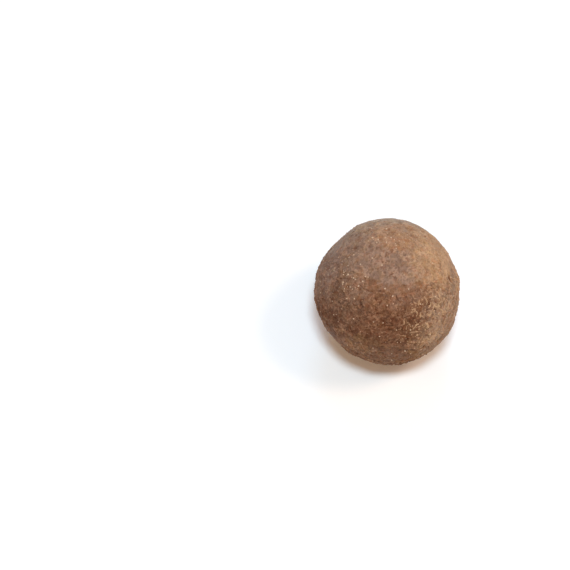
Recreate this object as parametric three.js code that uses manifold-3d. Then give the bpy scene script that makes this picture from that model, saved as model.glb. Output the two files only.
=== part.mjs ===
// A moqui marble: a round iron-oxide concretion from sandstone, one solid stone.
// Millimetres, +Z up. The origin is under the middle of the stone, on the surface that it rests on.
//
// The stone is a slightly flattened ball that has worn on broad, soft flats, with a few broad swells
// and hollows. A rough swollen belt runs round it at a lean, with a smooth cap on either side. Low
// knobs of cemented sand cover it, tall on the belt and low on the caps, and a few pits and short
// ridges break it. It rests on one small flat spot, where the ball is cut by the plane z = 0.

import * as THREE from "three";
import { mergeVertices } from "three/addons/utils/BufferGeometryUtils.js";
import Module from "manifold-3d";

// ---- Driving dimensions -------------------------------------------------------------------

const WIDTH = 34.5; // left to right, before the belt swells it
const DEPTH = 36.0; // front to back
const HEIGHT = 34.4; // top to bottom, before the flat spot is cut off
const SPOT_DROP = 0.6; // how much of the bottom the flat spot takes off
const SURFACE_DETAIL = 20; // the ball has 20 (detail + 1)^2 triangles

// The belt is a band round this axis, which leans back by about 35 degrees.
const BELT_AXIS = [0.11, 0.57, 0.81];
const BELT_SINE = 0.4; // sine of the latitude at which the belt fades out
const BELT_SWELL = 0.28; // how far the belt stands proud

// Broad worn flats: direction, then how far the flat lies from the stone's centre.
const FLATS = [
  { towards: [-0.71, 0.61, 0.35], reach: 17.4 },
  { towards: [-0.74, -0.58, -0.34], reach: 18.3 },
  { towards: [0.5, 0.42, 0.76], reach: 17.7 },
  { towards: [-0.12, -0.28, 0.95], reach: 17.35 },
  { towards: [0.3, -0.62, -0.72], reach: 17.65 },
  { towards: [0.86, 0.5, -0.1], reach: 17.6 },
  { towards: [0.05, 0.98, -0.2], reach: 18.05 },
  { towards: [-0.3, 0.7, -0.65], reach: 17.55 },
  { towards: [0.6, 0.1, -0.8], reach: 17.6 },
  { towards: [-0.45, -0.2, -0.87], reach: 17.5 },
];
const FLAT_EASE = 2.4; // width over which a flat blends into the ball

// Broad swells and hollows: direction, height (below zero for a hollow), half-width in radians.
const SWELLS = [
  { towards: [0.71, -0.61, -0.35], height: 0.5, width: 0.42 },
  { towards: [0.75, 0.57, 0.33], height: 0.22, width: 0.4 },
  { towards: [-0.3, 0.83, 0.48], height: -0.3, width: 0.32 },
  { towards: [-0.95, 0.25, 0.15], height: 0.15, width: 0.2 },
  { towards: [-0.97, -0.2, -0.12], height: -0.2, width: 0.2 },
  { towards: [-0.5, -0.75, -0.43], height: -0.32, width: 0.3 },
];

// Slow waves that keep the ball from being round: direction of travel, cycles, phase, height.
const WAVES = [
  { along: [0.8, 0.3, 0.52], cycles: 2.6, phase: 0.4, height: 0.14 },
  { along: [-0.35, 0.85, 0.4], cycles: 3.4, phase: 2.1, height: 0.11 },
  { along: [0.2, -0.55, 0.81], cycles: 4.7, phase: 4.4, height: 0.08 },
];

// Knobs of cemented sand, spread over the ball on a golden-angle spiral.
const KNOB_COUNT = 460;
const KNOB_WIDTH = 0.066; // radians from the middle to where a knob has fallen to a third
const KNOB_BELT = 0.38; // height of the tallest knob on the belt
const KNOB_CAP = 0.13; // height of the tallest knob on a cap

// Pits and short ridges: from one direction to another, height (below zero for a pit), half-width
// in radians.
const MARKS = [
  { from: [0.6, -0.78, 0.2], to: [0.52, -0.84, 0.12], height: 0.42, width: 0.045 },
  { from: [0.66, -0.7, 0.3], to: [0.7, -0.7, 0.16], height: 0.36, width: 0.04 },
  { from: [0.46, -0.8, 0.4], to: [0.56, -0.74, 0.38], height: 0.34, width: 0.04 },
  { from: [0.4, -0.9, 0.1], to: [0.5, -0.86, -0.02], height: 0.36, width: 0.045 },
  { from: [0.47, -0.85, 0.24], to: [0.47, -0.85, 0.24], height: -0.5, width: 0.06 },
  { from: [0.1, -0.86, 0.5], to: [-0.04, -0.84, 0.54], height: -0.36, width: 0.045 },
  { from: [-0.45, -0.7, 0.56], to: [-0.56, -0.62, 0.56], height: -0.34, width: 0.05 },
  { from: [-0.2, -0.98, -0.04], to: [0.04, -1.0, -0.06], height: -0.34, width: 0.05 },
  { from: [-0.86, -0.38, 0.34], to: [-0.84, -0.5, 0.2], height: -0.32, width: 0.055 },
  { from: [-0.6, 0.75, -0.3], to: [-0.7, 0.66, -0.36], height: -0.45, width: 0.06 },
  { from: [0.9, 0.1, -0.42], to: [0.86, -0.04, -0.5], height: -0.42, width: 0.05 },
  { from: [0.3, 0.75, -0.6], to: [0.44, 0.7, -0.56], height: 0.38, width: 0.05 },
  { from: [-0.05, 0.9, 0.44], to: [0.14, 0.9, 0.42], height: -0.36, width: 0.05 },
];

// ---- Form ---------------------------------------------------------------------------------

const unit = (xyz) => new THREE.Vector3(...xyz).normalize();

/** The smaller of two lengths, with the corner between them rounded over a width. */
function easedMin(a, b, width) {
  const near = Math.max(width - Math.abs(a - b), 0) / width;
  return Math.min(a, b) - (near * near * width) / 4;
}

/** A number from 0 to 1 that looks random but is the same each time. */
function scatter(index, seed) {
  const wave = Math.sin(index * 12.9898 + seed * 78.233) * 43758.5453;
  return wave - Math.floor(wave);
}

/** How much of the belt a direction lies in, from 0 on the caps to 1 at the middle of the belt. */
function beltShare(direction) {
  const sine = direction.dot(beltAxis) / BELT_SINE;
  return Math.exp(-(sine ** 4));
}

/** The knobs, as directions with a height each. Some are low dips, so that knobs crowd unevenly. */
function makeKnobs() {
  const goldenAngle = Math.PI * (3 - Math.sqrt(5));
  return Array.from({ length: KNOB_COUNT }, (_, i) => {
    const z = 1 - (2 * i + 1) / KNOB_COUNT;
    const turn = goldenAngle * i + 0.5 * scatter(i, 1);
    const ring = Math.sqrt(1 - z * z);
    const direction = unit([ring * Math.cos(turn), ring * Math.sin(turn), z + 0.05 * scatter(i, 2)]);
    const tallest = KNOB_CAP + (KNOB_BELT - KNOB_CAP) * beltShare(direction);
    return { direction, height: tallest * (1.6 * scatter(i, 3) - 0.6) };
  });
}

/** Squared distance on the unit ball from a direction to the straight run between two others. */
function awayFromRun(direction, { start, run, runSquared }) {
  const offset = direction.clone().sub(start);
  const share = runSquared > 0 ? THREE.MathUtils.clamp(offset.dot(run) / runSquared, 0, 1) : 0;
  return offset.addScaledVector(run, -share).lengthSq();
}

const beltAxis = unit(BELT_AXIS);
const flats = FLATS.map(({ towards, reach }) => ({ towards: unit(towards), reach }));
const swells = SWELLS.map((swell) => ({ ...swell, towards: unit(swell.towards) }));
const waves = WAVES.map((wave) => ({ ...wave, along: unit(wave.along) }));
const knobs = makeKnobs();
const marks = MARKS.map(({ from, to, height, width }) => {
  const start = unit(from);
  const run = unit(to).sub(start);
  return { start, run, runSquared: run.lengthSq(), height, width };
});

/** The stone's radius in a direction from its centre. */
function radiusTowards(direction) {
  const { x, y, z } = direction;
  let radius = 1 / Math.hypot((2 * x) / WIDTH, (2 * y) / DEPTH, (2 * z) / HEIGHT);
  radius += BELT_SWELL * beltShare(direction);
  for (const { along, cycles, phase, height } of waves) {
    radius += height * Math.sin(cycles * direction.dot(along) + phase);
  }
  for (const { towards, height, width } of swells) {
    radius += height * Math.exp(-direction.distanceToSquared(towards) / width ** 2);
  }
  for (const { towards, reach } of flats) {
    const cosine = direction.dot(towards);
    if (cosine > 0.5) radius = easedMin(radius, reach / cosine, FLAT_EASE);
  }
  for (const knob of knobs) {
    const away = direction.distanceToSquared(knob.direction) / KNOB_WIDTH ** 2;
    if (away < 9) radius += knob.height * Math.exp(-away);
  }
  for (const mark of marks) {
    const away = awayFromRun(direction, mark) / mark.width ** 2;
    if (away < 9) radius += mark.height * Math.exp(-away);
  }
  return radius;
}

/** The whole ball, before the flat spot is cut, with its centre at the origin. */
function ballGeometry() {
  const geometry = new THREE.IcosahedronGeometry(1, SURFACE_DETAIL);
  geometry.deleteAttribute("normal");
  geometry.deleteAttribute("uv");
  const ball = mergeVertices(geometry, 1e-5);
  const points = ball.getAttribute("position");
  const direction = new THREE.Vector3();
  for (let i = 0; i < points.count; i++) {
    direction.fromBufferAttribute(points, i).normalize();
    points.setXYZ(i, ...direction.multiplyScalar(radiusTowards(direction)));
  }
  return ball;
}

// ---- Cutting and placing ------------------------------------------------------------------

const wasm = await Module();
wasm.setup();

/** A closed geometry as a manifold-3d solid. */
function toSolid(geometry) {
  const source = geometry.clone();
  source.deleteAttribute("normal");
  source.deleteAttribute("uv");
  const merged = mergeVertices(source, 1e-5);
  return new wasm.Manifold(
    new wasm.Mesh({
      numProp: 3,
      vertProperties: merged.getAttribute("position").array,
      triVerts: new Uint32Array(merged.index.array),
    }),
  );
}

/** A manifold-3d solid as a geometry. */
function toGeometry(solid) {
  const { vertProperties, triVerts } = solid.getMesh();
  const geometry = new THREE.BufferGeometry();
  geometry.setAttribute("position", new THREE.BufferAttribute(vertProperties, 3));
  geometry.setIndex(new THREE.BufferAttribute(triVerts, 1));
  geometry.computeVertexNormals();
  return geometry;
}

/** The ball with its flat spot cut, standing on z = 0 with its box's middle over the origin. */
function stoneGeometry() {
  const ball = ballGeometry();
  ball.computeBoundingBox();
  const spotHeight = ball.boundingBox.min.z + SPOT_DROP;
  const block = new THREE.BoxGeometry(2 * WIDTH, 2 * DEPTH, HEIGHT);
  block.translate(0, 0, spotHeight - HEIGHT / 2);
  const stone = toGeometry(toSolid(ball).subtract(toSolid(block)));
  stone.computeBoundingBox();
  const middle = stone.boundingBox.getCenter(new THREE.Vector3());
  stone.translate(-middle.x, -middle.y, -spotHeight);
  return stone;
}

const ironstone = new THREE.MeshStandardMaterial({
  color: new THREE.Color(0.26, 0.15, 0.09),
  roughness: 0.85,
  metalness: 0,
});

const stone = new THREE.Mesh(stoneGeometry(), ironstone);
stone.name = "stone";

const marble = new THREE.Group();
marble.add(stone);

export default marble;
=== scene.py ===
"""A moqui marble: a round iron-oxide concretion, on a pale floor in soft studio light.

The stone is one natural solid. Its skin is a ball of six square patches, pushed in and out by a
radius that depends only on direction: a slightly flattened ball with a swollen belt, worn flats,
knobs, pits and ridges, a low granular relief, short scattered pits and a few longer crevices. Two
kinds of crumb sit half sunk in that skin: sand grains, as small many-sided beads, and cemented
ridges, as low bent rods. Lengths in the form functions are millimetres; meshes are in metres.

Nothing is drawn at random. What is scattered or noisy is worked out from counts and places, and the
last number given to each such function is its seed, which only sets it apart from the others.
"""

import math

import bpy
import numpy as np
from mathutils import Matrix, Vector


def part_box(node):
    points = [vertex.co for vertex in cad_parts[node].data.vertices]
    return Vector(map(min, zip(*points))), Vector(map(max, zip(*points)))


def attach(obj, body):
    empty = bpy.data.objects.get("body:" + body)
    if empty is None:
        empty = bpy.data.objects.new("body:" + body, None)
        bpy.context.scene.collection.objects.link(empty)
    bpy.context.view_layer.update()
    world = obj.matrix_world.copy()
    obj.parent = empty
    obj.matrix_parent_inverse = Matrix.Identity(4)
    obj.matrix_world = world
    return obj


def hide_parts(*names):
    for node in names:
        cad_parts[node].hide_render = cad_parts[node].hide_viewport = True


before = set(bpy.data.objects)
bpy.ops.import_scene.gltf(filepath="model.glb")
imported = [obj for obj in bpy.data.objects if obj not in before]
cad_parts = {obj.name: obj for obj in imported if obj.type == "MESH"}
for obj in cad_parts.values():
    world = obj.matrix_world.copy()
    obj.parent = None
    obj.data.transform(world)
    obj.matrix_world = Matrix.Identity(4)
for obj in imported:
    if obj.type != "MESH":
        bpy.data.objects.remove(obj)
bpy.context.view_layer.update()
STONE_LOW, STONE_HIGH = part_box("stone")

MM = 0.001

# ---- Sizes of the form, in millimetres ------------------------------------------------------

WIDTH = 34.5  # left to right, before the belt swells it
DEPTH = 36.0  # front to back
HEIGHT = 34.4  # top to bottom, before the flat spot
SPOT_DROP = 0.6  # how much of the bottom the flat spot takes off

BELT_AXIS = (0.11, 0.57, 0.81)  # the belt is a band round this axis
BELT_SINE = 0.4  # sine of the latitude at which the belt fades out
BELT_SWELL = 0.28  # how far the belt stands proud

# Broad worn flats: direction, then how far the flat lies from the stone's centre.
FLATS = (
    ((-0.71, 0.61, 0.35), 17.4),
    ((-0.74, -0.58, -0.34), 18.3),
    ((0.5, 0.42, 0.76), 17.7),
    ((-0.12, -0.28, 0.95), 17.35),
    ((0.3, -0.62, -0.72), 17.65),
    ((0.86, 0.5, -0.1), 17.6),
    ((0.05, 0.98, -0.2), 18.05),
    ((-0.3, 0.7, -0.65), 17.55),
    ((0.6, 0.1, -0.8), 17.6),
    ((-0.45, -0.2, -0.87), 17.5),
)
FLAT_EASE = 2.4  # width over which a flat blends into the ball

# Broad swells and hollows: direction, height (below zero for a hollow), half-width in radians.
SWELLS = (
    ((0.71, -0.61, -0.35), 0.5, 0.42),
    ((0.75, 0.57, 0.33), 0.22, 0.4),
    ((-0.3, 0.83, 0.48), -0.3, 0.32),
    ((-0.95, 0.25, 0.15), 0.15, 0.2),
    ((-0.97, -0.2, -0.12), -0.2, 0.2),
    ((-0.5, -0.75, -0.43), -0.32, 0.3),
)

# Slow waves: direction of travel, cycles, phase, height.
WAVES = (
    ((0.8, 0.3, 0.52), 2.6, 0.4, 0.14),
    ((-0.35, 0.85, 0.4), 3.4, 2.1, 0.11),
    ((0.2, -0.55, 0.81), 4.7, 4.4, 0.08),
)

# Knobs of cemented sand all over the ball.
KNOB_COUNT = 460
KNOB_WIDTH = 0.066  # radians from the middle to where a knob has fallen to a third
KNOB_BELT = 0.38  # height of the tallest knob on the belt
KNOB_CAP = 0.13  # height of the tallest knob on a cap
KNOB_DIP = 0.6  # share of that height by which the deepest dip lies below the ball

# Pits and short ridges: from, to, height (below zero for a pit), half-width in radians.
MARKS = (
    ((0.6, -0.78, 0.2), (0.52, -0.84, 0.12), 0.42, 0.045),
    ((0.66, -0.7, 0.3), (0.7, -0.7, 0.16), 0.36, 0.04),
    ((0.46, -0.8, 0.4), (0.56, -0.74, 0.38), 0.34, 0.04),
    ((0.4, -0.9, 0.1), (0.5, -0.86, -0.02), 0.36, 0.045),
    ((0.47, -0.85, 0.24), (0.47, -0.85, 0.24), -0.5, 0.06),
    ((0.1, -0.86, 0.5), (-0.04, -0.84, 0.54), -0.36, 0.045),
    ((-0.45, -0.7, 0.56), (-0.56, -0.62, 0.56), -0.34, 0.05),
    ((-0.2, -0.98, -0.04), (0.04, -1.0, -0.06), -0.34, 0.05),
    ((-0.86, -0.38, 0.34), (-0.84, -0.5, 0.2), -0.32, 0.055),
    ((-0.6, 0.75, -0.3), (-0.7, 0.66, -0.36), -0.45, 0.06),
    ((0.9, 0.1, -0.42), (0.86, -0.04, -0.5), -0.42, 0.05),
    ((0.3, 0.75, -0.6), (0.44, 0.7, -0.56), 0.38, 0.05),
    ((-0.05, 0.9, 0.44), (0.14, 0.9, 0.42), -0.36, 0.05),
)

# ---- Sizes of the fine relief, in millimetres -----------------------------------------------

# The roughest spot, on the right of the belt's front, and the cosines where it starts and is full.
ROUGH_SPOT = (0.6, -0.71, 0.4)
ROUGH_SPOT_EDGE = (0.8, 0.95)
# Below the belt's front the skin is rough again, though not quite as rough.
ROUGH_RIM = (0.0, -0.97, -0.25)
ROUGH_RIM_EDGE = (0.7, 0.95)
ROUGH_RIM_SHARE = 0.95
# The belt and the caps are rough in patches, which follow a slow noise.
ROUGH_PATCH_SIZE = 4.5
BELT_ROUGHNESS = (0.45, 1.05)  # where the noise is lowest and highest
CAP_ROUGHNESS = 0.3  # at most, where the noise is high
CAP_ROUGHNESS_EDGE = (0.5, 0.9)

# Lumps: size across, then heights where the skin is smooth and where it is rough.
LUMPS = ((3.0, (0.08, 0.15)), (1.5, (0.07, 0.13)))

# Granules: low domes, one in each cell of a lattice.
GRANULE_SPACING = 1.1
GRANULE_HEIGHT = (0.04, 0.16)  # where the skin is smooth and where it is rough
GRANULE_REACH = 0.8  # radius of a dome, over the spacing
GRANULE_SHARE = (0.4, 1.3)  # of that height, for the lowest and the highest granule

# Thin bent ridges run over the skin in several sets, each along the lines where a noise is zero.
CREST_SETS = 2
CREST_SPACING = 1.1
CREST_EDGE = 0.32  # size of the noise at which a ridge has fallen to nothing
CREST_HEIGHT = (0.05, 0.15)  # where the skin is smooth and where it is rough
CREST_BEND = 0.7  # how far the noise's lattice is pushed about
CREST_BEND_SIZE = 2.2
CREST_RUN = 1.8  # length that a ridge keeps unbroken
CREST_BREAK = (-0.25, 0.2)  # noise at which a ridge is broken and at which it is whole

# Short bent pits, scattered all over the ball.
PIT_COUNT = 520
PIT_SHAKE = 0.9  # share of the distance between neighbours by which a pit is moved, at most
PIT_LENGTH = (0.2, 1.3)  # shortest and longest
PIT_HALF_WIDTH = (0.24, 0.4)  # narrowest and widest
PIT_DEPTH = (0.07, 0.26)  # where the skin is smooth and where it is rough
PIT_SHARE = (0.4, 1.2)  # of that depth, for the shallowest and the deepest pit
PIT_BEND = 0.9  # radians that a pit turns at its middle, at most

# Longer crevices: from, to, depth, half-width.
CREVICES = (
    ((-0.48, -0.33, 0.81), (-0.29, -0.48, 0.83), 0.3, 0.2),
    ((-0.29, -0.48, 0.83), (-0.12, -0.49, 0.86), 0.28, 0.2),
    ((0.68, -0.74, 0.02), (0.73, -0.67, 0.11), 0.4, 0.35),
    ((0.35, -0.77, 0.53), (0.4, -0.72, 0.56), 0.35, 0.32),
    ((0.83, -0.1, 0.55), (0.86, -0.13, 0.5), 0.35, 0.3),
    ((0.15, -0.98, 0.14), (0.35, -0.94, 0.08), 0.45, 0.35),
    ((0.35, -0.94, 0.08), (0.48, -0.86, 0.09), 0.4, 0.35),
    ((-0.66, -0.21, 0.72), (-0.55, -0.27, 0.79), 0.25, 0.2),
    ((-0.39, -0.58, 0.71), (-0.35, -0.63, 0.69), 0.4, 0.28),
    ((-0.5, -0.8, 0.34), (-0.44, -0.84, 0.31), 0.35, 0.3),
    ((0.18, -0.96, -0.2), (0.3, -0.94, -0.16), 0.4, 0.3),
    ((-0.2, -0.95, -0.24), (-0.08, -0.97, -0.22), 0.35, 0.3),
    ((-0.5, -0.85, -0.12), (-0.4, -0.9, -0.14), 0.35, 0.28),
)

PATCH_STEPS = 128  # squares along each side of one of the skin's six patches

# Sand grains stand where the skin is sandiest, out of a number of places that are tried.
GRAIN_PLACES = 16000
GRAIN_COUNT = 9900
GRAIN_SHAKE = 0.6  # share of the distance between neighbours by which a place is moved, at most
GRAIN_RADIUS = (0.15, 0.34)  # half-width of the smallest and the largest
GRAIN_STRETCH = 0.5  # share of its size by which a grain's axes can differ
# Share of its half-width that a grain's middle lies deep, where the skin is smooth and rough.
GRAIN_SUNK = (0.85, 0.55)
# Some grains are pale quartz and stand further out. Their share of all grains, the half-width of
# the smallest and the largest, and the share of it that their middles lie deep.
PALE_SHARE = 0.035
PALE_RADIUS = (0.13, 0.27)
PALE_SUNK = 0.35
SPOT_COSINE = 0.955  # nothing stands nearer than this to straight down, on the flat spot

# Patches on the cap with more sand, and more quartz in it: direction, cosines where each starts
# and is full.
SAND_PATCHES = (((-0.03, 0.26, 0.96), 0.93, 0.99), ((-0.58, -0.15, 0.8), 0.93, 0.99))
PATCH_QUARTZ = 2.4  # how much more quartz there is, over what there is elsewhere

# How much three things add to the skin's roughness, for how sandy a place is.
SAND_PATCH = 0.5
SAND_DRIFT = 0.5  # a noise, either way
SAND_DRIFT_SIZE = 2.4
SAND_CHANCE = 0.5  # either way
NEVER = -9  # how sandy a place is that no grain may take

# Cemented ridges: low, bent rods of sand laid along a slow swirl, most of them where the skin is
# roughest. On the rough spot they are longer and fan out along one direction.
ROD_PLACES = 8000
ROD_COUNT = 3980
ROD_SHAKE = 0.7  # share of the distance between neighbours by which a place is moved, at most
ROD_CHANCE = 0.3  # how much chance counts, either way, besides the skin's roughness
ROD_PIT = 1.5  # how much a place loses in a pit
ROD_PIT_EDGE = (0.1, 0.3)  # depths of the skin where that starts and is full
ROD_LENGTH = (0.5, 1.6)  # shortest and longest
ROD_HALF_WIDTH = (0.13, 0.23)  # thinnest and thickest
# Share of its half-width that a rod's path lies deep, where the skin is smooth and rough, and how
# much higher or deeper a rod can lie.
ROD_SUNK = (0.5, 0.2)
ROD_SUNK_STRAY = (-0.3, 0.5)
SWIRL_SIZE = 3.5
ROD_STRAY = 1.6  # how much chance turns a rod out of the swirl
FAN = (0.6, 0.7, 0.4)
FAN_SHARE = 0.6  # how far the fan takes over from the swirl on the rough spot
SPOT_GROWTH = 0.8  # how much longer the rods are on the rough spot
SPOT_THICKER = 0.6  # power of the growth in length that gives the growth in width
SPOT_THINNED = 0.55  # share of them that is missing there, at most
ROD_STATIONS = (-1.0, -0.8, -0.4, 0.0, 0.4, 0.8, 1.0)  # along a rod, over half its length
ROD_SIDES = 5
ROD_BEND = 0.9  # how far a rod's ends bow sideways, at most, over half its length
ROD_CURL = 0.6  # the same for the cubic that turns it into an S
ROD_UNEVEN = 0.4  # how much thicker or thinner a ring is than it would be, at most

SAND_PER_MM = 3.4  # grains of the finest sand, which is only in the finish


# ---- Arrays of noise ------------------------------------------------------------------------


def unit(vectors):
    """Vectors scaled to length 1."""
    vectors = np.asarray(vectors, float)
    return vectors / np.linalg.norm(vectors, axis=-1, keepdims=True)


def between(low, high, share):
    """A value that goes from low to high as the share goes from 0 to 1."""
    return low + (high - low) * share


def rising(values, low, high):
    """0 below low, 1 above high, with a smoothstep between."""
    share = np.clip((values - low) / (high - low), 0, 1)
    return share * share * (3 - 2 * share)


def scatter(index, seed):
    """Numbers from 0 to 1 that look random: the fraction of a large multiple of a sine."""
    wave = np.sin(index * 12.9898 + seed * 78.233) * 43758.5453
    return wave - np.floor(wave)


def random_vectors(index, seed):
    """Three scattered numbers from minus a half to a half for each index."""
    return np.stack([scatter(index, seed + axis) - 0.5 for axis in range(3)], axis=-1)


def hashed(cells, seed):
    """Numbers from 0 to 1 for whole-number cells: products with large primes, mixed by shifts."""
    whole = cells.astype(np.int64)
    mixed = whole[..., 0] * 73856093 ^ whole[..., 1] * 19349663 ^ whole[..., 2] * 83492791
    mixed = (mixed ^ seed * 2654435761) & 0xFFFFFFFF
    mixed = (mixed ^ mixed >> 15) * 2246822519 & 0xFFFFFFFF
    mixed = (mixed ^ mixed >> 13) * 3266489917 & 0xFFFFFFFF
    return (mixed ^ mixed >> 16) / 4294967296.0


def smooth_noise(points, size, seed):
    """Noise from -1 to 1 with features of a size: random values at the corners of a cubic lattice,
    joined by smoothstep weights along each axis."""
    places = points / size
    corner = np.floor(places)
    share = places - corner
    share = share * share * (3 - 2 * share)
    total = np.zeros(len(points))
    for step in np.ndindex(2, 2, 2):
        offset = np.array(step)
        weight = np.prod(np.where(offset, share, 1 - share), axis=-1)
        total += weight * hashed(corner + offset, seed)
    return 2 * total - 1


def nearest_cell(points, size, seed):
    """Distance to the nearest of one random point in each cell of a cubic lattice, over the cell
    size, and that point's own random number."""
    places = points / size
    corner = np.floor(places)
    best = np.full(len(points), 9.0)  # further than any cell's point is
    number = np.zeros(len(points))
    for step in np.ndindex(3, 3, 3):
        cell = corner + np.array(step) - 1
        jitter = np.stack([hashed(cell, seed + axis) for axis in range(3)], axis=-1)
        away = np.linalg.norm(cell + jitter - places, axis=-1)
        number = np.where(away < best, hashed(cell, seed + 3), number)
        best = np.minimum(away, best)
    return best, number


GOLDEN_ANGLE = math.pi * (3 - math.sqrt(5))


def spiral(count, shake, seed):
    """Directions on a golden-angle spiral from pole to pole, each shaken by up to a share of the
    distance between neighbours."""
    index = np.arange(count)
    rise = 1 - (2 * index + 1) / count
    ring = np.sqrt(1 - rise * rise)
    turn = GOLDEN_ANGLE * index
    spots = np.stack([ring * np.cos(turn), ring * np.sin(turn), rise], axis=-1)
    return unit(spots + random_vectors(index, seed) * shake * 2 * math.sqrt(4 * math.pi / count))


def tangents(out, lean):
    """Two directions along the ball at each outward one: square to it and the lean, then square to
    both."""
    along = unit(np.cross(out, lean))
    return along, np.cross(out, along)


# ---- The stone's form -----------------------------------------------------------------------

BELT = unit(BELT_AXIS)


def eased_min(a, b, width):
    """The smaller of two lengths, less a quarter of the width where they are equal."""
    near = np.maximum(width - np.abs(a - b), 0) / width
    return np.minimum(a, b) - near * near * width / 4


def belt_share(directions):
    """How much of the belt a direction lies in: exp of minus the fourth power of the sine of its
    latitude over the belt's."""
    return np.exp(-(((directions @ BELT) / BELT_SINE) ** 4))


def knobs():
    """Directions and heights of the knobs, on a golden-angle spiral from pole to pole, each turned
    and raised a little by chance. Some are low dips, so that knobs crowd unevenly."""
    index = np.arange(KNOB_COUNT)
    rise = 1 - (2 * index + 1) / KNOB_COUNT
    turn = GOLDEN_ANGLE * index + 0.5 * scatter(index, 1)
    ring = np.sqrt(1 - rise * rise)
    level = rise + 0.05 * scatter(index, 2)
    directions = unit(np.stack([ring * np.cos(turn), ring * np.sin(turn), level], axis=-1))
    tallest = between(KNOB_CAP, KNOB_BELT, belt_share(directions))
    return directions, tallest * ((1 + KNOB_DIP) * scatter(index, 3) - KNOB_DIP)


def away_from_run(directions, start, end):
    """Squared distance from directions to the straight run from start to end."""
    run = end - start
    offset = directions - start
    squared = run @ run
    share = np.clip(offset @ run / squared, 0, 1) if squared > 0 else np.zeros(len(directions))
    return ((offset - share[:, None] * run) ** 2).sum(axis=-1)


def main_radius(directions):
    """The stone's radius without its fine relief: that of an ellipsoid, plus the belt's swell, slow
    sine waves and a wide Gaussian for each swell, held in by each flat, plus a small Gaussian for
    each knob and mark."""
    half = np.array([WIDTH, DEPTH, HEIGHT]) / 2
    radius = 1 / np.linalg.norm(directions / half, axis=-1)
    radius += BELT_SWELL * belt_share(directions)
    for along, cycles, phase, height in WAVES:
        radius += height * np.sin(cycles * (directions @ unit(along)) + phase)
    for towards, height, width in SWELLS:
        radius += height * np.exp(-((directions - unit(towards)) ** 2).sum(axis=-1) / width**2)
    for towards, reach in FLATS:
        cosine = directions @ unit(towards)
        faces = cosine > 0.5  # a flat only bears on what lies within 60 degrees of it
        radius[faces] = eased_min(radius[faces], reach / cosine[faces], FLAT_EASE)
    for towards, height in zip(*knobs()):
        away = ((directions - towards) ** 2).sum(axis=-1) / KNOB_WIDTH**2
        radius += height * np.exp(-away)
    for start, end, height, width in MARKS:
        away = away_from_run(directions, unit(start), unit(end)) / width**2
        radius += height * np.exp(-away)
    return radius


def roughness_share(directions):
    """How rough the skin is, from 0 to 1: the largest of the belt's share, made patchy by slow
    noise, the rough spot's and the rough rim's, plus a little in the same noise's high patches."""
    places = directions * WIDTH / 2
    patchy = 0.5 + 0.5 * smooth_noise(places, ROUGH_PATCH_SIZE, 40)
    spot = rising(directions @ unit(ROUGH_SPOT), *ROUGH_SPOT_EDGE)
    rim = ROUGH_RIM_SHARE * rising(directions @ unit(ROUGH_RIM), *ROUGH_RIM_EDGE)
    belt = belt_share(directions) * between(*BELT_ROUGHNESS, patchy)
    highest = np.maximum(np.maximum(belt, spot), rim)
    return np.clip(highest + CAP_ROUGHNESS * rising(patchy, *CAP_ROUGHNESS_EDGE), 0, 1)


def pit_depth(directions):
    """Depth of the crevices and of the short pits scattered over the ball. Each pit is two straight
    runs that meet at an angle, with a Gaussian section, and those that cross merge at the greater
    depth."""
    index = np.arange(PIT_COUNT)
    middle = spiral(PIT_COUNT, PIT_SHAKE, 50)
    along, across = tangents(middle, random_vectors(index, 53))
    turn = PIT_BEND * (2 * scatter(index, 56) - 1)[:, None]
    half = between(*PIT_LENGTH, scatter(index, 57) ** 2)[:, None] / WIDTH
    first = unit(middle - along * half)
    last = unit(middle + (along * np.cos(turn) + across * np.sin(turn)) * half)
    width = between(*PIT_HALF_WIDTH, scatter(index, 58)) / (WIDTH / 2)
    depth = between(*PIT_DEPTH, roughness_share(middle)) * between(*PIT_SHARE, scatter(index, 59))
    reach = half[:, 0] + 3 * width  # past this a pit's depth is nothing
    deepest = np.zeros(len(directions))
    for start, end, deep, half_width in CREVICES:
        away = away_from_run(directions, unit(start), unit(end)) / (2 * half_width / WIDTH) ** 2
        deepest = np.maximum(deepest, deep * np.exp(-away))
    for one in index:
        near = np.flatnonzero(directions @ middle[one] > math.cos(reach[one]))
        here = directions[near]
        away = np.minimum(
            away_from_run(here, first[one], middle[one]), away_from_run(here, middle[one], last[one])
        )
        here_deep = depth[one] * np.exp(-away / width[one] ** 2)
        deepest[near] = np.maximum(deepest[near], here_deep)
    return deepest


def crest_share(directions):
    """How near each direction is to the crest of a thin bent ridge, from 0 to 1. Each set's crests
    are the lines where a noise on a bent lattice passes through zero, broken where a second noise
    is low."""
    places = directions * WIDTH / 2
    bend = np.stack([smooth_noise(places, CREST_BEND_SIZE, 60 + axis) for axis in range(3)], axis=-1)
    bent = places + CREST_BEND * bend
    share = np.zeros(len(directions))
    for one in range(CREST_SETS):
        line = rising(np.abs(smooth_noise(bent, CREST_SPACING, 64 + 2 * one)), CREST_EDGE, 0)
        whole = rising(smooth_noise(bent, CREST_RUN, 65 + 2 * one), *CREST_BREAK)
        share = np.maximum(share, line * whole)
    return share


def fine_relief(directions):
    """Millimetres to add for the granular skin: thin ridges, smooth noise for the lumps, and for the
    granules the height of a half ball over each lattice cell's point, less a half. The pits are
    taken off."""
    places = directions * WIDTH / 2
    rough = roughness_share(directions)
    relief = between(*CREST_HEIGHT, rough) * crest_share(directions) - pit_depth(directions)
    for seed, (size, heights) in enumerate(LUMPS):
        relief += between(*heights, rough) * smooth_noise(places, size, seed)
    away, number = nearest_cell(places, GRANULE_SPACING, 10)
    dome = np.sqrt(np.clip(1 - (away / GRANULE_REACH) ** 2, 0, 1)) - 0.5
    relief += between(*GRANULE_HEIGHT, rough) * dome * between(*GRANULE_SHARE, number)
    return relief


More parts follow.
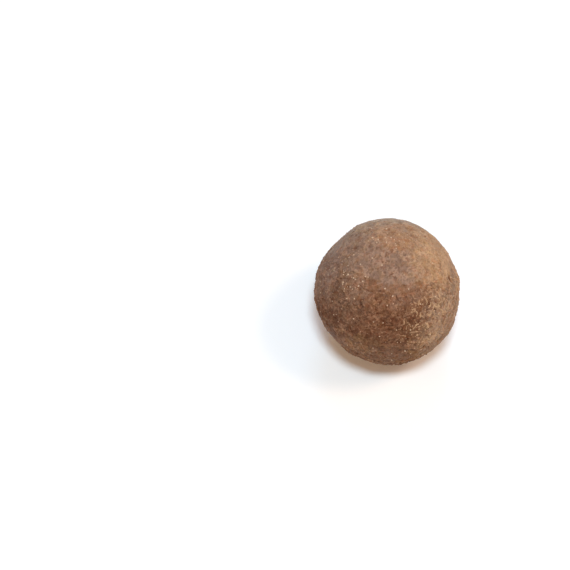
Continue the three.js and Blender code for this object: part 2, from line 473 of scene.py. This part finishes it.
def skin_radius(directions):
    """The finished skin's radius in each direction."""
    return main_radius(directions) + fine_relief(directions)


# ---- Meshes ---------------------------------------------------------------------------------


def patch_directions(steps):
    """Directions of a ball of six square patches, faces of a cube seen from its middle. Along each
    side of a patch the points lie at equal angles, and points that patches share are made one.
    Returns them and the squares' corners."""
    angle = np.tan(np.linspace(-math.pi / 4, math.pi / 4, steps + 1))
    across, up = np.meshgrid(angle, angle, indexing="ij")
    flat = np.stack([across.ravel(), up.ravel(), np.ones(across.size)], axis=-1)
    turns = [np.roll(np.eye(3), shift, axis=0) for shift in range(3)]
    sides = [unit(flat @ turn * sign) for turn in turns for sign in (1, -1)]
    index = np.arange((steps + 1) ** 2).reshape(steps + 1, steps + 1)
    square = np.stack([index[:-1, :-1], index[1:, :-1], index[1:, 1:], index[:-1, 1:]], axis=-1)
    square = square.reshape(-1, 4)
    faces = [
        (square if side % 2 == 0 else square[:, ::-1]) + side * index.size for side in range(6)
    ]
    directions = np.round(np.concatenate(sides), 9)
    merged, where = np.unique(directions, axis=0, return_inverse=True)
    return unit(merged), where.reshape(-1)[np.concatenate(faces)]


def bead():
    """Corners and faces of a twelve-cornered bead: two poles, and two rings of five corners with a
    half step between them, at latitudes of plus and minus the arctangent of a half."""
    ring = np.arange(5) * 2 * math.pi / 5
    level = math.atan(0.5)

    def ring_at(latitude, turn):
        out = math.cos(latitude)
        height = np.full(5, math.sin(latitude))
        return np.stack([out * np.cos(ring + turn), out * np.sin(ring + turn), height], axis=-1)

    corners = np.concatenate(
        [[[0, 0, 1]], ring_at(level, 0), ring_at(-level, math.pi / 5), [[0, 0, -1]]]
    )
    top, low = 1 + np.arange(5), 6 + np.arange(5)
    next_top, next_low = np.roll(top, -1), np.roll(low, -1)
    first, last = np.zeros(5, int), np.full(5, 11)
    bands = [(first, top, next_top), (top, low, next_top), (low, next_low, next_top)]
    bands.append((last, next_low, low))
    return corners, np.concatenate([np.stack(band, axis=-1) for band in bands])


def sand_grains():
    """Corners of every grain about the stone's centre, and a random tone for each. Places on a
    golden-angle spiral are kept where the skin is sandiest, and each takes a bead that is stretched
    along three axes, leant at random and sunk in the skin."""
    places = spiral(GRAIN_PLACES, GRAIN_SHAKE, 11)
    patch = np.max([rising(places @ unit(towards), *edge) for towards, *edge in SAND_PATCHES], axis=0)
    drift = smooth_noise(places * WIDTH / 2, SAND_DRIFT_SIZE, 90)
    sandy = roughness_share(places) + SAND_DRIFT * drift + SAND_PATCH * patch
    sandy += between(-SAND_CHANCE, SAND_CHANCE, scatter(np.arange(GRAIN_PLACES), 10))
    sandy[places[:, 2] < -SPOT_COSINE] = NEVER
    kept = np.sort(np.argsort(-sandy, kind="stable")[:GRAIN_COUNT])
    out = places[kept]
    index = np.arange(GRAIN_COUNT)
    tone = 1 - (1 - scatter(kept, 21)) / (1 + PATCH_QUARTZ * patch[kept])
    pale = tone > 1 - PALE_SHARE
    size = between(*GRAIN_RADIUS, scatter(index, 14) ** 2)
    size = np.where(pale, between(*PALE_RADIUS, scatter(index, 14)), size)
    sunk = np.where(pale, PALE_SUNK, between(*GRAIN_SUNK, roughness_share(out))) * size
    middle = out * (skin_radius(out) - sunk)[:, None]
    stretch = 1 + GRAIN_STRETCH * random_vectors(index, 15)
    along, across = tangents(out, random_vectors(index, 18))
    axes = np.stack([along, across, out], axis=1)
    corners = bead()[0] * (stretch * size[:, None])[:, None, :]
    return np.einsum("nci,nij->ncj", corners, axes) + middle[:, None, :], tone


def rod_faces():
    """Triangles of one rod, whose corners are its first end, its rings in order and its last end."""
    rings = len(ROD_STATIONS) - 2
    side = np.arange(ROD_SIDES)
    after = np.roll(side, -1)
    end = np.full(ROD_SIDES, 1 + rings * ROD_SIDES)
    last = end - ROD_SIDES
    faces = [(0 * side, 1 + after, 1 + side), (end, last + side, last + after)]
    for ring in range(rings - 1):
        here = 1 + ring * ROD_SIDES + side
        beside = 1 + ring * ROD_SIDES + after
        faces += [(here, beside, here + ROD_SIDES), (beside, beside + ROD_SIDES, here + ROD_SIDES)]
    return np.concatenate([np.stack(face, axis=-1) for face in faces])


def cemented_ridges():
    """Corners of every rod about the stone's centre, and a random tone for each. A rod's path lies
    along the swirl of a slow noise and bows sideways as a parabola plus a cubic. At each station a
    ring of corners stands round the path, thinner towards the ends by a half circle's height, and
    uneven."""
    index = np.arange(ROD_COUNT)
    tried = spiral(ROD_PLACES, ROD_SHAKE, 31)
    chance = between(-ROD_CHANCE, ROD_CHANCE, scatter(np.arange(ROD_PLACES), 32))
    worth = roughness_share(tried) + chance
    worth -= ROD_PIT * rising(-fine_relief(tried), *ROD_PIT_EDGE)
    spot = rising(tried @ unit(ROUGH_SPOT), *ROUGH_SPOT_EDGE)
    worth[scatter(np.arange(ROD_PLACES), 33) < SPOT_THINNED * spot] = NEVER
    worth[tried[:, 2] < -SPOT_COSINE] = NEVER
    middle = tried[np.sort(np.argsort(-worth, kind="stable")[:ROD_COUNT])]
    places = middle * WIDTH / 2
    swirl = np.stack([smooth_noise(places, SWIRL_SIZE, 34 + axis) for axis in range(3)], axis=-1)
    spot = rising(middle @ unit(ROUGH_SPOT), *ROUGH_SPOT_EDGE)[:, None]
    lean = between(swirl, np.cross(unit(FAN), middle), FAN_SHARE * spot)
    along, across = tangents(middle, lean + ROD_STRAY * random_vectors(index, 37))
    grown = 1 + SPOT_GROWTH * spot[:, 0]
    half = between(*ROD_LENGTH, scatter(index, 40) ** 1.5) / WIDTH * grown
    bow = ROD_BEND * (2 * scatter(index, 41) - 1)[:, None]
    curl = ROD_CURL * (2 * scatter(index, 46) - 1)[:, None]
    station = np.array(ROD_STATIONS)
    forward = half[:, None] * station
    sideways = half[:, None] * (bow * station**2 + curl * (station**3 - station))
    turn = 2 * bow * station + curl * (3 * station**2 - 1)
    path_at = along[:, None] * forward[..., None] + across[:, None] * sideways[..., None]
    out = unit(middle[:, None] + path_at)
    side = unit(np.cross(out, along[:, None] + across[:, None] * turn[..., None]))

    width = between(*ROD_HALF_WIDTH, scatter(index, 42)) * grown**SPOT_THICKER
    stray = between(*ROD_SUNK_STRAY, scatter(index, 43))
    sunk = (between(*ROD_SUNK, roughness_share(middle)) + stray) * width
    level = skin_radius(out.reshape(-1, 3)).reshape(out.shape[:2]) - sunk[:, None]
    path = out * level[..., None]
    each_ring = index[:, None] * len(station) + np.arange(len(station))
    uneven = between(1 - ROD_UNEVEN, 1 + ROD_UNEVEN, scatter(each_ring, 44))
    ring_width = (width[:, None] * np.sqrt(1 - station**2) * uneven)[:, 1:-1, None, None]
    angle = np.arange(ROD_SIDES) * 2 * math.pi / ROD_SIDES
    around = side[:, 1:-1, None] * np.cos(angle)[:, None] + out[:, 1:-1, None] * np.sin(angle)[:, None]
    rings = (path[:, 1:-1, None] + around * ring_width).reshape(ROD_COUNT, -1, 3)
    return np.concatenate([path[:, :1], rings, path[:, -1:]], axis=1), scatter(index, 45)


def in_the_frame(*shapes):
    """Shapes about the stone's centre, in millimetres, scaled and moved so that the box they share
    fills the frame's box of the stone and the flat spot's cut below it, and flattened there. Returns
    the place of the stone's centre, then the shapes, in metres."""
    low = np.min([shape.reshape(-1, 3).min(axis=0) for shape in shapes], axis=0)
    high = np.max([shape.reshape(-1, 3).max(axis=0) for shape in shapes], axis=0)
    box_low = np.array(STONE_LOW) - (0, 0, SPOT_DROP * MM)
    scale = (np.array(STONE_HIGH) - box_low) / (high - low)
    centre = box_low - low * scale
    settled = [shape * scale + centre for shape in shapes]
    for shape in settled:
        shape[..., 2] = np.maximum(shape[..., 2], STONE_LOW.z)
    return Vector(centre), *settled


def new_mesh(name, points, faces, material, **numbers):
    """A smooth-shaded mesh object from arrays, in metres, with one number per point for each
    keyword."""
    mesh = bpy.data.meshes.new(name)
    mesh.vertices.add(len(points))
    mesh.vertices.foreach_set("co", points.astype(np.float32).ravel())
    sides = faces.shape[1]
    mesh.loops.add(faces.size)
    mesh.loops.foreach_set("vertex_index", faces.astype(np.int32).ravel())
    mesh.polygons.add(len(faces))
    mesh.polygons.foreach_set("loop_start", np.arange(0, faces.size, sides, dtype=np.int32))
    for key, values in numbers.items():
        mesh.attributes.new(key, "FLOAT", "POINT").data.foreach_set(
            "value", values.astype(np.float32)
        )
    mesh.update(calc_edges=True)
    mesh.shade_smooth()
    mesh.materials.append(material)
    piece = bpy.data.objects.new(name, mesh)
    bpy.context.scene.collection.objects.link(piece)
    return piece


# ---- Shader maths ---------------------------------------------------------------------------


class Wire:
    """A socket of a node tree, with arithmetic that adds Math nodes."""

    def __init__(self, tree, socket):
        self.tree = tree
        self.socket = socket

    def math(self, operation, *values):
        """A Math node on a row of sockets and plain numbers."""
        made = self.tree.nodes.new("ShaderNodeMath")
        made.operation = operation
        for slot, value in zip(made.inputs, values):
            connect(self.tree, slot, value)
        return Wire(self.tree, made.outputs[0])

    def __add__(self, other):
        return self.math("ADD", self, other)

    def __radd__(self, other):
        return self.math("ADD", other, self)

    def __sub__(self, other):
        return self.math("SUBTRACT", self, other)

    def __rsub__(self, other):
        return self.math("SUBTRACT", other, self)

    def __mul__(self, other):
        return self.math("MULTIPLY", self, other)

    def __rmul__(self, other):
        return self.math("MULTIPLY", other, self)

    def __abs__(self):
        return self.math("ABSOLUTE", self)

    def fraction(self):
        """What is left of a number past the last whole one."""
        return self.math("FRACT", self)

    def rising(self, low, high):
        """0 below low, 1 above high, smooth between. With low over high it falls instead."""
        return node(
            self.tree,
            "ShaderNodeMapRange",
            {"interpolation_type": "SMOOTHSTEP"},
            Value=self,
            **{"From Min": low, "From Max": high},
        )


def connect(tree, slot, value):
    """Sets a socket to a plain value, or links it to a wire."""
    if isinstance(value, Wire):
        tree.links.new(value.socket, slot)
    elif value is not None:
        slot.default_value = value


def node(tree, kind, settings=None, output=0, **values):
    """A node of a type, with its settings made first, then its sockets by name. Returns one of its
    outputs as a wire."""
    made = tree.nodes.new(kind)
    for key, setting in (settings or {}).items():
        setattr(made, key, setting)
    for key, value in values.items():
        connect(tree, made.inputs[key.replace("_", " ")], value)
    return Wire(tree, made.outputs[output])


def vector(tree, operation, first, second):
    """A Vector Math node on two vectors."""
    made = tree.nodes.new("ShaderNodeVectorMath")
    made.operation = operation
    for slot, value in zip(made.inputs, (first, second)):
        connect(tree, slot, value)
    return Wire(tree, made.outputs["Value" if operation == "DOT_PRODUCT" else 0])


def mixed(tree, share, first, second, blend="MIX"):
    """A colour that goes from first to second as the share goes from 0 to 1. With the blend ADD or
    MULTIPLY it goes from first to first plus, or times, second."""
    made = tree.nodes.new("ShaderNodeMix")
    made.data_type = "RGBA"
    made.blend_type = blend
    made.clamp_factor = True
    for slot, value in ((0, share), (6, first), (7, second)):
        connect(tree, made.inputs[slot], value)
    return Wire(tree, made.outputs[2])


def noise(tree, places, per_mm, detail=2.0, roughness=0.5):
    """Blender's noise with a number of features to the millimetre, as a value round a half."""
    sockets = {"Vector": places, "Scale": per_mm, "Detail": detail, "Roughness": roughness}
    return node(tree, "ShaderNodeTexNoise", **sockets)


def fine_sand(tree, places):
    """Two wires for sand a fraction of a millimetre across: each grain's own random number, and the
    height over a grain, which falls evenly from its middle."""
    away = node(tree, "ShaderNodeTexVoronoi", Vector=places, Scale=SAND_PER_MM)
    return Wire(tree, away.socket.node.outputs["Color"]), 1 - away


def own_number(tree, name):
    """A number that each point of the mesh carries."""
    return node(tree, "ShaderNodeAttribute", {"attribute_name": name}, output=2)


# ---- Finishes -------------------------------------------------------------------------------

CAP_BROWN = (0.25, 0.158, 0.112, 1)
# Used only for painted light: paler rims for painted sheen, and a paler right edge.
PAINTED_LIGHT_BROWN = (0.4, 0.3, 0.22, 1)
MAUVE = (0.222, 0.137, 0.098, 1)
GREY_MAUVE = (0.165, 0.088, 0.043, 1)
RED_BROWN = (0.194, 0.097, 0.054, 1)
# Dark brown is also painted shade in the hollows and at the lower left.
DARK_BROWN = (0.09, 0.031, 0.014, 1)
GREY_BROWN = (0.127, 0.076, 0.054, 1)
# Painted sheen: a greyer brown for the upper-left rim.
PAINTED_SHEEN_BROWN = (0.25, 0.17, 0.138, 1)
TAN = (0.431, 0.262, 0.146, 1)
OCHRE = (0.235, 0.135, 0.068, 1)
RUSTY = (0.36, 0.187, 0.094, 1)
PALE_SAND = (0.46, 0.295, 0.17, 1)
QUARTZ = (0.6, 0.44, 0.31, 1)

# A colour is multiplied by these where it is darker, redder and yellower.
SHADE = (0.55, 0.5, 0.48, 1)
RUST = (0.95, 0.72, 0.6, 1)
GOLD = (1.0, 0.96, 0.78, 1)
# On the crests the dust also stands for a painted highlight.
DUST = (0.123, 0.075, 0.048, 1)  # this is added to a colour where it is dustiest

# Where the sand grains and the ridges are palest, and the cosines where that starts and is full.
SANDY_SPOT = (0.53, -0.72, 0.45)
SANDY_SPOT_EDGE = (0.885, 0.97)

BELT_MIDDLE = 0.11  # cosine from the belt's axis of the middle of its colour
BELT_COLOUR_EDGE = (0.43, 0.36)  # how far from the middle its colour starts, and is full
UPPER_CAP_EDGE = (0.0, 0.3)  # cosines from the belt's axis where the upper cap's colour starts, is full
BLOTCHES_PER_MM = 0.35
BLOTCH_EDGE = (0.42, 0.58)  # noise where the lower cap's second colour starts, and is full
DUSTY_PATCH_EDGE = (0.3, 0.65)  # noise where the dustier patches start, and are full
# A noise makes the edges of the belt, stains and painted light wander, by a share of it as a cosine.
WANDER_PER_MM, WANDER_DETAIL, WANDER_ROUGHNESS = 0.22, 6.0, 0.8
BELT_WANDER = 0.7
STAIN_AND_LIGHT_WANDER = 0.4

# Stains and painted light: direction, cosines where each starts and is full, strength, colour.
STAINS_AND_PAINTED_LIGHT = (
    # Painted sheen: the back and top rim made paler, for grazing reflection of the bright surround.
    ((0.1, 0.9, 0.42), 0.6, 1.0, 0.9, PAINTED_LIGHT_BROWN),
    ((-0.12, -0.17, 0.98), 0.93, 0.985, 0.85, MAUVE),
    ((0.22, -0.54, 0.81), 0.975, 0.995, 0.5, MAUVE),
    ((0.8, 0.18, 0.57), 0.62, 0.95, 0.95, TAN),
    ((0.11, 0.37, 0.92), 0.9, 1.0, 0.6, RUSTY),
    ((0.38, -0.87, 0.26), 0.9, 0.99, 0.65, OCHRE),
    ((-0.75, -0.4, 0.5), 0.75, 1.0, 0.6, GREY_BROWN),
    # Painted sheen: the upper-left rim made greyer and paler, for grazing reflection.
    ((-0.88, 0.15, 0.42), 0.8, 1.0, 0.8, PAINTED_SHEEN_BROWN),
    # Painted light: the right edge made paler, for light from the right.
    ((0.84, -0.52, 0.16), 0.7, 1.0, 0.6, PAINTED_LIGHT_BROWN),
    ((0.14, -0.98, 0.12), 0.95, 0.995, 0.3, MAUVE),
    # Painted shade: the lower-left rim made darker, for the shadow beside it.
    ((-0.84, -0.54, -0.07), 0.85, 1.0, 0.6, DARK_BROWN),
    ((-0.48, -0.35, 0.8), 0.93, 1.0, 0.45, CAP_BROWN),
    ((-0.05, -0.9, 0.42), 0.8, 1.0, 0.45, DARK_BROWN),
    ((-0.22, -0.95, -0.2), 0.86, 0.98, 0.42, CAP_BROWN),
    # Painted sheen: the upper-left rim made paler.
    ((-0.64, 0.66, 0.38), 0.8, 1.0, 0.27, PAINTED_LIGHT_BROWN),
    ((0.87, -0.25, 0.42), 0.955, 0.995, 0.4, GREY_BROWN),
)

# Mottling: features to the millimetre, detail of the noise, noise where it starts and is full,
# strength, what the colour is multiplied by, and a shift in millimetres that keeps one kind of
# mottling from lying on another.
MOTTLING = (
    (0.45, 3.0, (0.5, 0.75), 0.45, SHADE, 0),
    (1.1, 1.0, (0.45, 0.7), 0.3, SHADE, 0),
    (0.8, 2.0, (0.48, 0.66), 0.6, RUST, 0),
    (0.7, 2.0, (0.48, 0.62), 0.6, GOLD, 50),
)

# Painted shade: height of the skin's relief, in mm, where a hollow starts to darken and is darkest.
HOLLOW_SHADE_EDGE = (0.06, -0.28)
HOLLOW_SHADE_STRENGTH = 0.85
# Crests are paler: partly pale dust, partly a painted highlight on their tops.
CREST_DUST_AND_HIGHLIGHT = (0.4, 0.85)  # how dusty a crest is where there is least dust, and most

# A grain of the finest sand has a random number. High ones are dusty and low ones dark.
FINE_DUSTY_EDGE = (0.5, 0.85)
FINE_DUST = 0.3
FINE_DARK_EDGE = (0.45, 0.15)
SKIN_DARK_SAND = 0.5
CRUMB_DARK_SAND = 0.3

# A crumb's tone, from 0 to 1, says which crumbs are dark, dusty and pale, in the same way.
DARK_TONE_EDGE = (0.5, 0.0)
DUSTY_TONE_EDGE = (0.4, 0.95)
PALE_TONE_EDGE = (0.45, 0.8)
DARK_CRUMB = 0.5
PALE_CRUMB = 0.9
CAP_DUST = 0.5  # how dusty crumbs are on the caps, over what they are on the belt
QUARTZ_STRENGTH = 0.9
QUARTZ_FULL = 0.4  # share of the quartz grains that have its full colour
# Reddest are the crumbs with a high fraction in so many times their tone.
RUSTY_TURNS = 7
RUSTY_EDGE = (0.3, 1.0)
RUSTY_CRUMB = 0.6

# Gloss: a dull face with a trace of sheen all over, a little smoother on the caps than on the belt.
GLOSS = {"Specular IOR Level": 0.1, "Sheen Weight": 0.01, "Sheen Roughness": 0.4}
SKIN_ROUGHNESS = (0.6, 0.85)  # on the caps and on the belt
CRUMB_ROUGHNESS = (0.6, 0.8)

# Bumps: strength, and heights in millimetres.
BUMP_STRENGTH = 0.8
SKIN_BUMP = 0.1
CRUMB_BUMP = 0.07
SKIN_BUMPS_PER_MM = 1.8
SAND_BUMP_SHARE = 0.7  # of the finest sand in the skin's bump


def stone_colour(tree, centre):
    """The colour of the stone by place: a brown cap and a greyer one, a red-brown belt with a
    ragged edge between them, and broad stains, all mottled. Among the stains are painted sheen on
    the upper rims, painted light on the right edge and painted shade at the lower left. Returns it
    with the places in millimetres, their directions from the stone's centre and the belt's share."""
    coordinates = tree.nodes.new("ShaderNodeTexCoord")
    here = Wire(tree, coordinates.outputs["Object"])
    places = vector(tree, "MULTIPLY", vector(tree, "SUBTRACT", here, centre), (1 / MM,) * 3)
    out = node(tree, "ShaderNodeVectorMath", {"operation": "NORMALIZE"}, Vector=places)
    wander = noise(tree, places, WANDER_PER_MM, WANDER_DETAIL, WANDER_ROUGHNESS) - 0.5
    latitude = vector(tree, "DOT_PRODUCT", out, BELT) + wander * BELT_WANDER
    belt = abs(latitude - BELT_MIDDLE).rising(*BELT_COLOUR_EDGE)
    blotch = noise(tree, places, BLOTCHES_PER_MM).rising(*BLOTCH_EDGE)
    lower_cap = mixed(tree, blotch, GREY_MAUVE, OCHRE)
    colour = mixed(tree, latitude.rising(*UPPER_CAP_EDGE), lower_cap, CAP_BROWN)
    colour = mixed(tree, belt, colour, RED_BROWN)
    # Stains, with painted sheen, light and shade among them.
    for towards, start, full, strength, stain_or_painted_light in STAINS_AND_PAINTED_LIGHT:
        cosine = vector(tree, "DOT_PRODUCT", out, unit(towards)) + wander * STAIN_AND_LIGHT_WANDER
        colour = mixed(tree, cosine.rising(start, full) * strength, colour, stain_or_painted_light)
    for per_mm, detail, edge, strength, tint, shift in MOTTLING:
        shifted = vector(tree, "ADD", places, (shift, 0, 0))
        mottle = noise(tree, shifted, per_mm, detail).rising(*edge)
        colour = mixed(tree, mottle * strength, colour, tint, "MULTIPLY")
    return colour, places, out, belt


def finish(name, build):
    """A material with one Principled shader, whose colour, roughness and normal the builder
    function gives."""
    material = bpy.data.materials.new(name)
    material.use_nodes = True
    tree = material.node_tree
    shader = next(n for n in tree.nodes if n.type == "BSDF_PRINCIPLED")
    for key, value in (GLOSS | build(tree)).items():
        connect(tree, shader.inputs[key], value)
    return material


def bumped(tree, height, rise):
    """A bump of a height in millimetres where the rise is 1."""
    sockets = {"Strength": BUMP_STRENGTH, "Distance": height * MM, "Height": rise}
    return node(tree, "ShaderNodeBump", **sockets)


def skin_finish(centre):
    """Iron-stained cement: the stone's colour, with painted shade in the hollows, paler along the
    crests with dust and a painted highlight, speckled with fine sand, and with a bump that adds
    noise and the fine sand's height."""

    def build(tree):
        colour, places, _, belt = stone_colour(tree, centre)
        # Painted shade: the skin darkened in its hollows.
        hollow_shade = own_number(tree, "relief").rising(*HOLLOW_SHADE_EDGE)
        colour = mixed(tree, hollow_shade * HOLLOW_SHADE_STRENGTH, colour, DARK_BROWN)
        patchy = noise(tree, places, BLOTCHES_PER_MM).rising(*DUSTY_PATCH_EDGE)
        # Crests paled: partly pale dust, partly a painted highlight on their tops.
        dusty = own_number(tree, "crest") * between(*CREST_DUST_AND_HIGHLIGHT, patchy)
        colour = mixed(tree, dusty, colour, DUST, "ADD")
        grain, height = fine_sand(tree, places)
        colour = mixed(tree, grain.rising(*FINE_DUSTY_EDGE) * FINE_DUST, colour, DUST, "ADD")
        dark = grain.rising(*FINE_DARK_EDGE) * SKIN_DARK_SAND
        colour = mixed(tree, dark, colour, SHADE, "MULTIPLY")
        rise = noise(tree, places, SKIN_BUMPS_PER_MM, roughness=0.6) + SAND_BUMP_SHARE * height
        bump = bumped(tree, SKIN_BUMP, rise)
        dull = between(*SKIN_ROUGHNESS, belt)
        return {"Base Color": colour, "Roughness": dull, "Normal": bump}

    return finish("iron_cement", build)


def crumb_finish(name, centre, dustiest, quartz_share=0.0):
    """Stained sand: the stone's colour, darker, redder or dustier crumb by crumb, the dust by up to
    the share given and most on the belt, pale on the sandy spot, with a share of the crumbs quartz."""

    def build(tree):
        colour, places, out, belt = stone_colour(tree, centre)
        tone = own_number(tree, "tone")
        spot = vector(tree, "DOT_PRODUCT", out, unit(SANDY_SPOT)).rising(*SANDY_SPOT_EDGE)
        dark = tone.rising(*DARK_TONE_EDGE) * DARK_CRUMB
        colour = mixed(tree, dark, colour, SHADE, "MULTIPLY")
        rusty = (RUSTY_TURNS * tone).fraction().rising(*RUSTY_EDGE) * RUSTY_CRUMB
        colour = mixed(tree, rusty, colour, RUST, "MULTIPLY")
        dusty = tone.rising(*DUSTY_TONE_EDGE) * (dustiest * between(CAP_DUST, 1, belt))
        colour = mixed(tree, dusty, colour, DUST, "ADD")
        sandy = tone.rising(*PALE_TONE_EDGE) * spot * PALE_CRUMB
        colour = mixed(tree, sandy, colour, PALE_SAND)
        if quartz_share:
            quartz = tone.rising(1 - quartz_share, 1 - QUARTZ_FULL * quartz_share)
            colour = mixed(tree, quartz * QUARTZ_STRENGTH, colour, QUARTZ)
        grain, height = fine_sand(tree, places)
        dark_sand = grain.rising(*FINE_DARK_EDGE) * CRUMB_DARK_SAND
        colour = mixed(tree, dark_sand, colour, SHADE, "MULTIPLY")
        bump = bumped(tree, CRUMB_BUMP, height)
        dull = between(*CRUMB_ROUGHNESS, belt)
        return {"Base Color": colour, "Roughness": dull, "Normal": bump}

    return finish(name, build)


# ---- Floor, light and camera ----------------------------------------------------------------

PICTURE_SIDE = 570  # pixels
STONE_PIXEL = (387.0, 291.1)  # where the middle of the stone is seen
PIXELS_TO_MM = 1 / 4.16
LENS, SENSOR = 120.0, 36.0  # focal length and sensor width, in millimetres
ELEVATION = math.radians(60)  # how far the camera looks down

FLOOR_HALF_WIDTH = 3.0  # metres
FLOOR_COLOUR = (0.92, 0.92, 0.92, 1)
FLOOR_ROUGHNESS = 0.9
SURROUND = (0.364, 0.297, 0.24, 1)  # colour of the even surround's light
# Soft lamps: place and width in metres, watts, colour.
LAMPS = {
    "softbox_above": ((0.0, -0.259, 0.966), 0.2, 6.94, (0.7, 0.88, 1.0)),
    "softbox_right": ((0.574, 0.0, 0.819), 0.3, 3.05, (1.0, 0.75, 0.59)),
    "softbox_behind": ((0.0, 0.766, 0.643), 0.4, 2.4, (0.39, 0.66, 1.0)),
    "warm_fill_front": ((0.0, -0.866, 0.5), 0.5, 1.5, (1.0, 0.5, 0.25)),
    "warm_fill_left": ((-0.866, 0.0, 0.5), 0.5, 1.2, (1.0, 0.7, 0.4)),
}


def studio_floor():
    """A plain pale floor."""
    half = FLOOR_HALF_WIDTH
    corners = np.array([[-half, -half, 0], [half, -half, 0], [half, half, 0], [-half, half, 0]])
    material = bpy.data.materials.new("pale_floor")
    material.use_nodes = True
    shader = next(n for n in material.node_tree.nodes if n.type == "BSDF_PRINCIPLED")
    shader.inputs["Base Color"].default_value = FLOOR_COLOUR
    shader.inputs["Roughness"].default_value = FLOOR_ROUGHNESS
    floor = new_mesh("studio_floor", corners, np.array([[0, 1, 2, 3]]), material)


def studio_light():
    """A warm even surround and the soft lamps, each a disc aimed at the stone."""
    world = bpy.data.worlds.new("surround")
    world.use_nodes = True
    background = next(n for n in world.node_tree.nodes if n.type == "BACKGROUND")
    background.inputs["Color"].default_value = SURROUND
    bpy.context.scene.world = world
    for name, (place, width, watts, colour) in LAMPS.items():
        lamp = bpy.data.lights.new(name, "AREA")
        lamp.shape = "DISK"
        lamp.size = width
        lamp.energy = watts
        lamp.color = colour
        holder = bpy.data.objects.new(name, lamp)
        aim = (STONE_LOW + STONE_HIGH) / 2 - Vector(place)
        turn = aim.to_track_quat("-Z", "Y").to_matrix().to_4x4()
        holder.matrix_world = Matrix.Translation(place) @ turn
        bpy.context.scene.collection.objects.link(holder)


def main_camera():
    """A long lens that looks down at the stone, with the stone right of the picture's middle."""
    camera = bpy.data.cameras.new("camera")
    camera.lens, camera.sensor_width = LENS, SENSOR
    holder = bpy.data.objects.new("camera", camera)
    back = Vector((0, -math.cos(ELEVATION), math.sin(ELEVATION)))
    up = Vector((0, math.sin(ELEVATION), math.cos(ELEVATION)))
    right = Vector((1, 0, 0))
    picture_width = PICTURE_SIDE * PIXELS_TO_MM * MM
    distance = picture_width / 2 / (SENSOR / 2 / LENS)
    middle = (STONE_LOW + STONE_HIGH) / 2
    across = (STONE_PIXEL[0] - PICTURE_SIDE / 2) * PIXELS_TO_MM * MM
    down = (STONE_PIXEL[1] - PICTURE_SIDE / 2) * PIXELS_TO_MM * MM
    aim = middle - right * across + up * down
    turn = Matrix((right, up, back)).transposed().to_4x4()
    holder.matrix_world = Matrix.Translation(aim + back * distance) @ turn
    bpy.context.scene.collection.objects.link(holder)
    bpy.context.scene.camera = holder


# ---- The whole scene ------------------------------------------------------------------------


def repeated(faces, corners, count):
    """One shape's faces, with so many corners, for a number of shapes in a row."""
    return (faces + corners * np.arange(count)[:, None, None]).reshape(-1, 3)


def crumbs(name, shapes, faces, tones, material):
    """Many small closed shapes as one piece, each with its own tone."""
    count, corners = shapes.shape[:2]
    tone = np.repeat(tones, corners)
    all_faces = repeated(faces, corners, count)
    piece = new_mesh(name, shapes.reshape(-1, 3), all_faces, material, tone=tone)
    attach(piece, "root")


def stone():
    """The skin, its sand grains and its cemented ridges, fitted to the frame's stone."""
    directions, faces = patch_directions(PATCH_STEPS)
    relief = fine_relief(directions)
    crest = crest_share(directions)
    skin_points = directions * (main_radius(directions) + relief)[:, None]
    grains, grain_tones = sand_grains()
    rods, rod_tones = cemented_ridges()
    centre, skin_points, grains, rods = in_the_frame(skin_points, grains, rods)

    finish_of_skin = skin_finish(centre)
    skin = new_mesh("stone_skin", skin_points, faces, finish_of_skin, relief=relief, crest=crest)
    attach(skin, "root")
    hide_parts("stone")

    sand = crumb_finish("stained_sand", centre, dustiest=0.6, quartz_share=PALE_SHARE)
    crumbs("sand_grains", grains, bead()[1], grain_tones, sand)
    ridge = crumb_finish("cemented_sand", centre, dustiest=0.9)
    crumbs("cemented_ridges", rods, rod_faces(), rod_tones, ridge)


stone()
studio_floor()
studio_light()
main_camera()
bpy.context.scene.view_settings.view_transform = "Standard"
